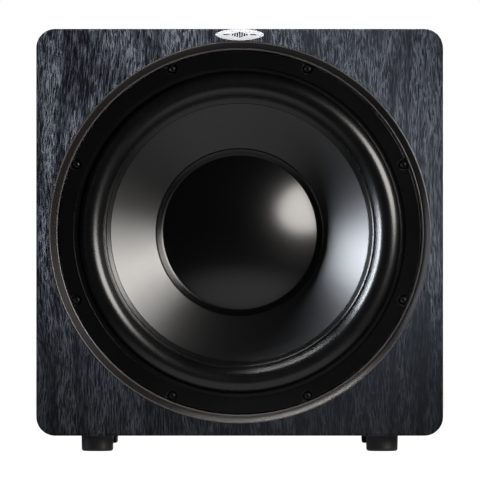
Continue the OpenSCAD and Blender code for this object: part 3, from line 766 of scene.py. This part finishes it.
SPIDER_Z, SPIDER_HALF_T = -95.68, 0.3
WAVE_IN, WAVE_RUN, WAVE_HEIGHT, WAVE_STEPS = 39.0, 40.0, 3.7, 100
spider_wave = [(38.2, -95.7), (39.6, -95.7)]
for i in range(3, WAVE_STEPS + 1):
    spider_wave.append((WAVE_IN + WAVE_RUN * i / WAVE_STEPS, SPIDER_Z + WAVE_HEIGHT * math.sin(math.pi * i / 20)))
spider_wave += [(86.0, SPIDER_Z), (92.8, SPIDER_Z)]
cloth = lathe(
    "Spider_cloth",
    [(r, z + SPIDER_HALF_T) for r, z in spider_wave] + [(r, z - SPIDER_HALF_T) for r, z in reversed(spider_wave)],
    seg=192, sharp=60,
)
cloth.data.materials.append(
    simple("spider_cloth", (0.52, 0.38, 0.15), 0.85, 900.0, grain_mm=0.15, vary=0.2, worn=(0.62, 0.5, 0.26))
)
radial_blend(cloth, 41.0, 84.0, -95)
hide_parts("spider")

braid = simple(
    "lead_braid", (0.62, 0.30, 0.14), 0.42, 2600.0, metallic=0.9, grain_mm=0.2, worn=(0.8, 0.55, 0.35)
)
leads = refine("tinsel_leads", "Tinsel_pair", "enclosure", 0, braid)
leads.parent = None
del leads["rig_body"]
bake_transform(leads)

steel_black = simple(
    "black_oxide", (0.02, 0.02, 0.022), 0.3, 1800.0,
    metallic=0.85, grain_mm=0.01, worn=(0.3, 0.29, 0.28), wear_mm=0.25,
)
head = soften([(4.75, 0.0), (4.75, 1.3), (3.1, 2.85), (2.25, 3.0)], [0.1, 0.4, 0.5, 0.15], 4)
bolts = turned(
    "Driver_bolts",
    [(0, -26.0), (2.6, -26.0), (3.0, -25.4), (3.0, 0.0)] + head + [(2.05, 2.9), (2.05, 1.1), (0, 1.0)],
    [driver_point(BOLT_R, SEAT_Z, a) for a in bolt_angles], (0, -1, 0), 48,
)
place(bolts, "enclosure", "driver_screws", steel_black)

# ---------------------------------------------------------------- badge

BADGE_W, BADGE_H, BADGE_T = 51.4, 12.4, 1.6
BADGE_RIM, BADGE_DOME = 0.9, 0.38
BADGE_STEPS = 96
BADGE_TIP = 1.18
badge_lo, badge_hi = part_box("badge_plate")
BADGE_Z = (badge_lo.z + badge_hi.z) / 2


def badge_outline(w, h):
    """An oval with slightly drawn-out tips, as (across, up) in millimetres."""
    pts = []
    for k in range(BADGE_STEPS):
        t = 2 * math.pi * k / BADGE_STEPS
        pts.append((w / 2 * math.cos(t), h / 2 * math.copysign(abs(math.sin(t)) ** BADGE_TIP, math.sin(t))))
    return pts


def badge_plate():
    """Closed rings from the back to the middle of the front: an edge, a rounded rim and a low dome."""
    edge_z = BADGE_T - BADGE_RIM
    rim = [(0.45 * (1 - math.cos(t)), edge_z + 0.5 * math.sin(t)) for t in (0.5, 1.0, math.pi / 2)]
    levels = []
    for inset, z in [(0.0, 0.0), (0.0, edge_z)] + rim:
        levels.append((badge_outline(BADGE_W - 2.6 * inset, BADGE_H - 2 * inset), 1.0, z))
    for k in range(1, 7):
        f = 1 - k / 7
        levels.append((badge_outline(BADGE_W - 1.2, BADGE_H - 0.9), f, BADGE_T - 0.4 + BADGE_DOME * (1 - f * f)))
    verts = [(x * f * MM, FRONT - z * MM, BADGE_Z + h * f * MM) for ring, f, z in levels for x, h in ring]
    n = BADGE_STEPS
    faces = [list(range(n))]
    for i in range(len(levels) - 1):
        faces += [[i * n + k, i * n + (k + 1) % n, (i + 1) * n + (k + 1) % n, (i + 1) * n + k] for k in range(n)]
    faces.append([(len(levels) - 1) * n + k for k in range(n)])
    return new_mesh("Badge_oval", verts, faces, 28)


badge_metal = simple(
    "badge_metal", (0.25, 0.255, 0.265), 0.34, 2200.0,
    metallic=0.35, streak=(1.0, 1.0, 0.06), grain_mm=0.01, vary=0.05, worn=(0.36, 0.365, 0.375), specular=0.6,
)
badge = place(badge_plate(), "enclosure", "badge_plate", badge_metal)

BAR_PITCH, BAR_W = 2.5, 1.5
BAR_HEIGHTS = (1.8, 3.4, 4.8, 6.0, 4.8, 3.4, 1.8)
LINES = [(-14.0, 0.0, 7.0, 0.9), (14.0, 0.0, 7.0, 0.9)]


def bars(name, spans, lift, thick):
    """Thin printed bars on the badge: (centre x, centre height, width, height) in millimetres."""
    bm = bmesh.new()
    for x, h, w, t in spans:
        verts = bmesh.ops.create_cube(bm, size=1.0)["verts"]
        bmesh.ops.scale(bm, verts=verts, vec=(w * MM, thick * MM, t * MM))
        bmesh.ops.translate(bm, verts=verts, vec=(x * MM, FRONT - (lift + thick / 2) * MM, BADGE_Z + h * MM))
    bmesh.ops.bevel(bm, geom=bm.edges[:], offset=0.06 * MM, segments=2, affect="EDGES", clamp_overlap=True)
    ob = add_bmesh(name, bm)
    tidy_mesh(ob)
    return ob


badge_ink = simple("badge_ink", (0.006, 0.006, 0.008), 0.4, 2500.0, grain_mm=0.01, worn=(0.05, 0.05, 0.055))
level_bars = [((i - 3) * BAR_PITCH, 0.0, BAR_W, t) for i, t in enumerate(BAR_HEIGHTS)]
marks = bars("Badge_bars", level_bars + LINES, BADGE_T - 0.35, 0.45)
place(marks, "enclosure", "badge_inlay", badge_ink)

# ---------------------------------------------------------------- feet

FOOT_R, FOOT_H = 17.0, 17.0
foot_lo, foot_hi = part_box("rubber_feet")
foot_x = foot_hi.x - FOOT_R * MM
foot_ys = (foot_lo.y + FOOT_R * MM, foot_hi.y - FOOT_R * MM)
foot_look = simple(
    "foot_rubber", (0.0035, 0.0036, 0.0042), 0.5, 1300.0,
    grain_mm=0.05, vary=0.3, worn=(0.05, 0.05, 0.052), wear_mm=0.8,
)
feet = turned(
    "Rubber_foot_pads",
    soften(
        [(2.6, FOOT_H), (2.6, 9.0), (7.0, 9.0), (7.0, 0.0), (16.6, 0.0), (FOOT_R, FOOT_H)],
        [0.1, 0.2, 0.4, 0.6, 3.2, 0.4], 6,
    ),
    [Vector((sx * foot_x, y, 0)) for sx in (-1, 1) for y in foot_ys], (0, 0, 1), 72,
)
place(feet, "enclosure", "rubber_feet", foot_look)

# ---------------------------------------------------------------- rear plate and what it carries

coat = simple(
    "amp_coat", (0.012, 0.012, 0.013), 0.5, 1100.0,
    grain_mm=0.06, vary=0.2, worn=(0.22, 0.22, 0.23), wear_mm=0.35,
)
zinc = simple(
    "zinc_steel", (0.34, 0.35, 0.36), 0.34, 700.0,
    metallic=1.0, streak=(1.0, 1.0, 0.1), grain_mm=0.01, worn=(0.75, 0.75, 0.77),
)
anodised = simple(
    "sink_anodised", (0.012, 0.012, 0.014), 0.38, 1500.0,
    metallic=0.4, streak=(1.0, 1.0, 0.04), grain_mm=0.02, worn=(0.4, 0.4, 0.42), wear_mm=0.3,
)
nickel = simple("nickel", (0.66, 0.65, 0.62), 0.22, 900.0, metallic=1.0, grain_mm=0.008, worn=(0.85, 0.84, 0.8))
knob_look = simple(
    "knob_plastic", (0.0035, 0.0035, 0.004), 0.36, 1800.0,
    grain_mm=0.03, worn=(0.05, 0.05, 0.052), wear_mm=0.3, specular=0.4,
)
switch_look = simple(
    "switch_plastic", (0.014, 0.014, 0.015), 0.35, 2000.0, grain_mm=0.02, worn=(0.09, 0.09, 0.092), wear_mm=0.3
)
inlet_look = simple(
    "inlet_plastic", (0.010, 0.010, 0.011), 0.4, 1600.0, grain_mm=0.03, worn=(0.08, 0.08, 0.082), wear_mm=0.3
)
white_look = simple(
    "ring_white", (0.70, 0.69, 0.66), 0.35, 1800.0, grain_mm=0.01, vary=0.06, worn=(0.8, 0.8, 0.78)
)
red_look = simple(
    "ring_red", (0.42, 0.018, 0.014), 0.35, 1800.0, grain_mm=0.01, vary=0.12, worn=(0.55, 0.08, 0.06)
)
print_look = simple("printed_marks", (0.62, 0.62, 0.60), 0.5, 2200.0, grain_mm=0.01, vary=0.12)

# CAD node, piece, body, edge width in mm, look
REFINED = [
    ("amp_plate", "Amp_panel", "enclosure", 0.5, coat),
    ("amp_screws", "Amp_panel_screws", "enclosure", 0.15, steel_black),
    ("heat_sink", "Finned_heat_sink", "enclosure", 0.3, anodised),
    ("pot_nuts", "Control_nuts", "enclosure", 0.2, nickel),
    ("volume_knob", "Volume_dial", "volume_control", 0.25, knob_look),
    ("crossover_knob", "Crossover_dial", "crossover_control", 0.25, knob_look),
    ("phase_slider", "Phase_tab", "phase_switch", 0.15, switch_look),
    ("mode_slider", "Mode_tab", "mode_switch", 0.15, switch_look),
    ("rca_barrels", "Phono_barrels", "enclosure", 0.2, nickel),
    ("rca_rings_white", "Phono_rings_white", "enclosure", 0.2, white_look),
    ("rca_rings_red", "Phono_rings_red", "enclosure", 0.2, red_look),
    ("rocker_housing", "Rocker_frame", "enclosure", 0.4, inlet_look),
    ("power_rocker", "Rocker_paddle", "power_switch", 0.4, switch_look),
    ("mains_inlet", "Mains_socket", "enclosure", 0.4, inlet_look),
    ("mains_pins", "Mains_blades", "enclosure", 0.25, nickel),
    ("fuse_drawer", "Fuse_tray", "fuse_holder", 0.3, switch_look),
]
for row in REFINED:
    refine(*row)


def plate_point(u, v, z=0.0):
    """A point on the amplifier plate: u to the right seen from behind, v up, z out of its face, in mm."""
    return Vector((-u * MM, PLATE.y + z * MM, PLATE.z + v * MM))


INK_LOW, INK_HIGH = 0.01, 0.08
DOT_SIDES = 16


def printed(name, strips, dots):
    """Printed marks as thin raised ink: strips (u, v, length, width, turn in degrees) and dots (u, v, r)."""
    bm = bmesh.new()

    def slab(points):
        low = [bm.verts.new(plate_point(u, v, INK_LOW)) for u, v in points]
        high = [bm.verts.new(plate_point(u, v, INK_HIGH)) for u, v in points]
        n = len(points)
        bm.faces.new(high)
        bm.faces.new(list(reversed(low)))
        for i in range(n):
            bm.faces.new([low[i], low[(i + 1) % n], high[(i + 1) % n], high[i]])

    for u, v, length, width, turn in strips:
        c, s = math.cos(math.radians(turn)), math.sin(math.radians(turn))
        box = [(sx * length / 2, sy * width / 2) for sx, sy in ((-1, -1), (1, -1), (1, 1), (-1, 1))]
        slab([(u + x * c - y * s, v + x * s + y * c) for x, y in box])
    for u, v, r in dots:
        turns = [t * math.pi / 8 for t in range(DOT_SIDES)]
        slab([(u + r * math.cos(t), v + r * math.sin(t)) for t in turns])
    ob = add_bmesh(name, bm)
    tidy_mesh(ob)
    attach(ob, "enclosure")
    ob.data.materials.append(print_look)


# The marks' layout, in the plate's millimetres, round the CAD's controls and sockets.
KNOB_US, KNOB_V, DIAL_R, DIAL_MARKS = (-72.0, -18.0), 104.0, 17.2, 11
SWITCHES, SWITCH_DOT_V = ((36.0, 2, 6.0), (84.0, 3, 3.0)), 110.5
PHONO_US, PHONO_V = (-84, -60, -24, 0), 56.0
BRACKET_US, BRACKET_V, BRACKET_W, BRACKET_END = (-72.0, -12.0), 44.5, 34.0, 3.4
RULE_VS, RULE_W = (76.0, -84.5), 214.0

strips, dots = [], []
for u in KNOB_US:
    for i in range(DIAL_MARKS):
        t = math.radians(240 - 30 * i)
        length = 3.4 if i in (0, 5, 10) else 2.0
        strips.append((u + DIAL_R * math.cos(t), KNOB_V + DIAL_R * math.sin(t), length, 0.5, math.degrees(t)))
for u, n, pitch in SWITCHES:
    dots += [(u + (i - (n - 1) / 2) * pitch, SWITCH_DOT_V, 0.55) for i in range(n)]
for u in BRACKET_US:
    strips.append((u, BRACKET_V, BRACKET_W, 0.5, 0))
    for side in (-1, 1):
        strips.append((u + side * BRACKET_W / 2, BRACKET_V + 1.5, BRACKET_END, 0.5, 90))
strips += [(0.0, v, RULE_W, 0.45, 0) for v in RULE_VS]
dots += [(-78.0, -90.0, 0.8)]
printed("Printed_marks", strips, dots)

LED_R = 2.5
led_lo, led_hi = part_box("status_led")
led = turned(
    "Status_lamp",
    [(0, -20.0), (LED_R, -20.0), (LED_R, 0.3)] + arc(0, 0.3, LED_R, 0, 88, 10)[1:] + [(0, 0.3 + LED_R)],
    [Vector(((led_lo.x + led_hi.x) / 2, PLATE.y, (led_lo.z + led_hi.z) / 2))], (0, 1, 0), 40,
)
lamp = Look("led_epoxy")
glow = lamp.span(lamp.noise(400.0, 3.0, 0.5), 0.3, 0.7, 0.35, 0.9)
lamp.set(
    Base_Color=lamp.mix(lamp.noise(600.0), (0.10, 0.45, 0.14), (0.2, 0.7, 0.25)),
    Roughness=lamp.span(glow, 0.35, 0.9, 0.12, 0.22),
    Transmission_Weight=0.5,
    Emission_Color=(0.2, 1.0, 0.35),
    Emission_Strength=glow,
    Normal=lamp.bump(lamp.noise(900.0), 0.01, 0.4),
)
place(led, "enclosure", "status_led", lamp.mat)

inserts = turned(
    "Phono_inserts",
    soften([(1.7, 5.2), (3.9, 5.2), (3.9, 9.1), (3.3, 9.3), (1.7, 8.6)], [0.15] * 5, 3),
    [plate_point(u, PHONO_V) for u in PHONO_US], (0, 1, 0), 32,
)
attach(inserts, "enclosure")
inserts.data.materials.append(white_look)

# ---------------------------------------------------------------- carried-over CAD nodes

foam = simple("foam", (0.015, 0.015, 0.016), 0.9, 1200.0, grain_mm=0.3, vary=0.3)
board = simple("board_green", (0.02, 0.13, 0.05), 0.35, 900.0, grain_mm=0.04, vary=0.3, worn=(0.3, 0.28, 0.12))
motor = simple(
    "motor_steel", (0.42, 0.43, 0.45), 0.32, 500.0,
    metallic=1.0, grain_mm=0.02, worn=(0.62, 0.62, 0.64), wear_mm=0.8,
)
CARRIED = {
    "rear_panel": simple(
        "rear_vinyl", (0.0035, 0.0037, 0.0045), 0.5, 650.0, streak=(1.0, 1.0, 0.06), grain_mm=0.42,
        vary=0.6, worn=(0.03, 0.031, 0.034), specular=0.28, blotch=40.0,
    ),
    "window_brace": simple("raw_board", (0.48, 0.34, 0.20), 0.8, 700.0, grain_mm=0.2, worn=(0.6, 0.46, 0.3)),
    "damping_lining": simple("wadding", (0.62, 0.62, 0.58), 0.95, 260.0, grain_mm=3.0, vary=0.15),
    "foot_washers": zinc,
    "foot_screws": zinc,
    "driver_gasket": foam,
    "driver_basket": simple(
        "black_steel", (0.012, 0.012, 0.013), 0.42, 900.0, grain_mm=0.03, worn=(0.2, 0.2, 0.21)
    ),
    "voice_coil_former": simple(
        "former_foil", (0.55, 0.38, 0.14), 0.35, 800.0, grain_mm=0.02, worn=(0.65, 0.5, 0.25)
    ),
    "voice_coil_winding": simple(
        "copper", (0.72, 0.30, 0.14), 0.3, 3000.0, metallic=1.0, streak=(0.05, 1.0, 0.05), grain_mm=0.2
    ),
    "top_plate": motor,
    "yoke": motor,
    "magnet_rings": simple(
        "ferrite", (0.025, 0.025, 0.027), 0.5, 500.0, grain_mm=0.08, worn=(0.08, 0.08, 0.085), wear_mm=1.0
    ),
    "tee_nuts": zinc,
    "terminal_block": simple("phenolic", (0.10, 0.05, 0.03), 0.5, 900.0, grain_mm=0.05, worn=(0.2, 0.12, 0.08)),
    "speaker_wires": simple(
        "wire_jacket", (0.32, 0.03, 0.02), 0.4, 900.0, grain_mm=0.02, worn=(0.45, 0.1, 0.08)
    ),
    "wire_grommet": foot_look,
    "amp_gasket": foam,
    "amp_backbox": simple(
        "plated_sheet", (0.50, 0.52, 0.54), 0.4, 60.0, metallic=1.0, grain_mm=0.01, vary=0.25, blotch=60.0
    ),
    "main_board": board,
    "preamp_board": board,
    "board_standoffs": zinc,
    "transformer": simple(
        "core_tape", (0.55, 0.40, 0.06), 0.4, 300.0, streak=(1.0, 0.1, 1.0), grain_mm=0.15, worn=(0.7, 0.55, 0.2)
    ),
    "filter_capacitors": simple(
        "capacitor_sleeve", (0.02, 0.03, 0.16), 0.3, 900.0, grain_mm=0.02, worn=(0.1, 0.12, 0.3)
    ),
    "power_transistors": simple(
        "package_epoxy", (0.015, 0.015, 0.015), 0.55, 2200.0, grain_mm=0.03, worn=(0.08, 0.08, 0.08)
    ),
    "volume_pot": zinc,
    "crossover_pot": zinc,
    "volume_shaft": nickel,
    "crossover_shaft": nickel,
    "switch_bodies": zinc,
    "fuse": simple(
        "fuse_glass", (0.72, 0.75, 0.75), 0.1, 1500.0, grain_mm=0.005, vary=0.08, worn=(0.9, 0.9, 0.9)
    ),
}
for node, look in CARRIED.items():
    mesh = frame["nodes"][node].data
    mesh.materials.clear()
    mesh.materials.append(look)

# ---------------------------------------------------------------- studio

# The floor is plain white to the camera. To the object it is darker, with a soft glowing pool in front.
FLOOR_SIZE = 6.0
FLOOR_TONE = 0.12
FLOOR_GLOW = 1.0
FLOOR_POOL = 0.43
POOL_NEAR, POOL_FAR, POOL_REST = 0.08, 0.40, 0.08


def floor_piece():
    bm = bmesh.new()
    bmesh.ops.create_grid(bm, x_segments=1, y_segments=1, size=FLOOR_SIZE)
    ob = add_bmesh("Studio_floor", bm)
    look = Look("studio_floor")
    apart = look.vector_math("DISTANCE", look.coord, (0.0, FRONT - 0.10, 0.0))["Value"]
    pool = look.span(apart, POOL_NEAR, POOL_FAR, 1.0, POOL_REST)
    tone = look.times(pool, look.span(look.noise(3.0), 0.3, 0.7, FLOOR_TONE, FLOOR_TONE * 1.04))
    pale = look.mix(tone, (0.0, 0.0, 0.0), (1.0, 1.0, 1.0))
    look.set(Base_Color=pale, Roughness=0.8, Specular_IOR_Level=0.1)
    seen = look.tree.nodes.new("ShaderNodeLightPath").outputs["Is Camera Ray"]
    unseen = look.times(look.math("SUBTRACT", 1.0, seen), look.times(pool, FLOOR_POOL))
    look.set(Emission_Color=(1.0, 1.0, 1.0), Emission_Strength=look.math("MULTIPLY_ADD", seen, FLOOR_GLOW, unseen))
    ob.data.materials.append(look.mat)


floor_piece()

WARM = (1.0, 0.965, 0.92)
COOL = (0.86, 0.92, 1.0)
NEUTRAL = (1.0, 1.0, 1.0)
SOFT_WARM = (1.0, 0.98, 0.95)


def softbox(name, away, off_axis, azimuth, size, power, colour, only=(), never=(), shape="RECTANGLE", mirrored=True):
    """An area light off_axis degrees from the driver's axis, azimuth degrees round from +X towards up.

    Its size is the extent round the axis, then the extent away from it. It lights all pieces, or some
    only, or all but a few. One that isn't mirrored lights without showing in reflections."""
    o, a = math.radians(off_axis), math.radians(azimuth)
    d = Vector((math.sin(o) * math.cos(a), -math.cos(o), math.sin(o) * math.sin(a)))
    round_axis = Vector((-math.sin(a), 0.0, math.cos(a)))
    light = bpy.data.lights.new(name, "AREA")
    light.shape = shape
    light.size, light.size_y = size
    light.energy = power
    light.color = colour
    ob = add_object(name, light)
    ob.location = AXIS + d * away
    ob.rotation_mode = "QUATERNION"
    ob.rotation_quaternion = Matrix((round_axis, d.cross(round_axis), d)).transposed().to_quaternion()
    ob.visible_camera = False
    ob.visible_glossy = mirrored
    if only or never:
        group = bpy.data.collections.new("Linked_to_" + name)
        for piece in only or never:
            group.objects.link(piece)
        ob.light_linking.receiver_collection = group
        for link in group.collection_objects if never else ():
            link.light_linking.link_state = "EXCLUDE"


vinyls = (wrap, face)
softbox("Key_right", 1.9, 52, 20, (1.04, 1.50), 52.0, WARM, never=vinyls, shape="ELLIPSE")
softbox("Side_left", 1.5, 87.5, 168, (1.0, 0.20), 5.2, COOL)
softbox("Side_roll", 1.5, 87.5, 170, (1.3, 0.20), 54.0, COOL, only=(surround,))
softbox("Side_cone", 4.0, 84.7, 169, (1.9, 0.65), 1280.0, COOL, only=(cone,))
softbox("Key_cone", 1.9, 68, 21, (1.7, 0.5), 21.0, WARM, only=(cone,))
softbox("Rim_top", 1.5, 89.5, 112, (0.9, 0.2), 11.0, NEUTRAL)
softbox("Rim_trim", 1.5, 84, 104, (1.7, 0.35), 12.0, WARM, only=(trim,))
softbox("Wash_top", 0.36, 60, 95, (0.5, 0.10), 3.6, NEUTRAL, only=(wrap, face, badge), mirrored=False)
softbox("Wash_left", 0.26, 58, 169, (0.20, 0.08), 0.9, NEUTRAL, only=vinyls, mirrored=False)
softbox("Wash_right", 0.26, 58, 10, (0.20, 0.08), 1.65, NEUTRAL, only=vinyls, mirrored=False)
softbox("Key_cabinet", 1.9, 75, 40, (1.2, 1.2), 26.0, NEUTRAL, only=(wrap,), mirrored=False)
softbox("Rear_fill", 2.2, 150, 40, (1.6, 1.6), 60.0, NEUTRAL, never=(wrap,))
softbox("Rear_side", 2.0, 118, 8, (1.2, 1.2), 55.0, SOFT_WARM, mirrored=False)

# The world is plain white to the camera and a faint blue fill to everything else.
WORLD_SEEN = (1.0, 1.0, 1.0), 1.05
WORLD_LIT = (0.9, 0.95, 1.0), 0.035

world = bpy.data.worlds.new("studio")
bpy.context.scene.world = world
world.use_nodes = True
tree = world.node_tree
tree.nodes.clear()


def background(colour, strength):
    n = tree.nodes.new("ShaderNodeBackground")
    n.inputs[0].default_value = (*colour, 1.0)
    n.inputs[1].default_value = strength
    return n.outputs[0]


path = tree.nodes.new("ShaderNodeLightPath")
pick = tree.nodes.new("ShaderNodeMixShader")
tree.links.new(path.outputs["Is Camera Ray"], pick.inputs[0])
tree.links.new(background(*WORLD_LIT), pick.inputs[1])
tree.links.new(background(*WORLD_SEEN), pick.inputs[2])
world_out = tree.nodes.new("ShaderNodeOutputWorld")
tree.links.new(pick.outputs[0], world_out.inputs[0])

scene = bpy.context.scene
scene.view_settings.view_transform = "Standard"
scene.view_settings.look = "None"
scene.view_settings.exposure = 0.0

# Camera: square on to the front, far away with a long lens, as the flat perspective asks.
DISTANCE = 9.0
FRAME_WIDTH = 0.5071
SENSOR = 36.0
cam_data = bpy.data.cameras.new("Camera")
cam_data.sensor_width = SENSOR
cam_data.lens = SENSOR * DISTANCE / FRAME_WIDTH
cam_data.clip_end = 60.0
cam = add_object("Camera", cam_data)
cam.location = (0.0003, FRONT - DISTANCE, AXIS.z - 0.0081)
cam.rotation_euler = (math.radians(90), 0, 0)
scene.camera = cam
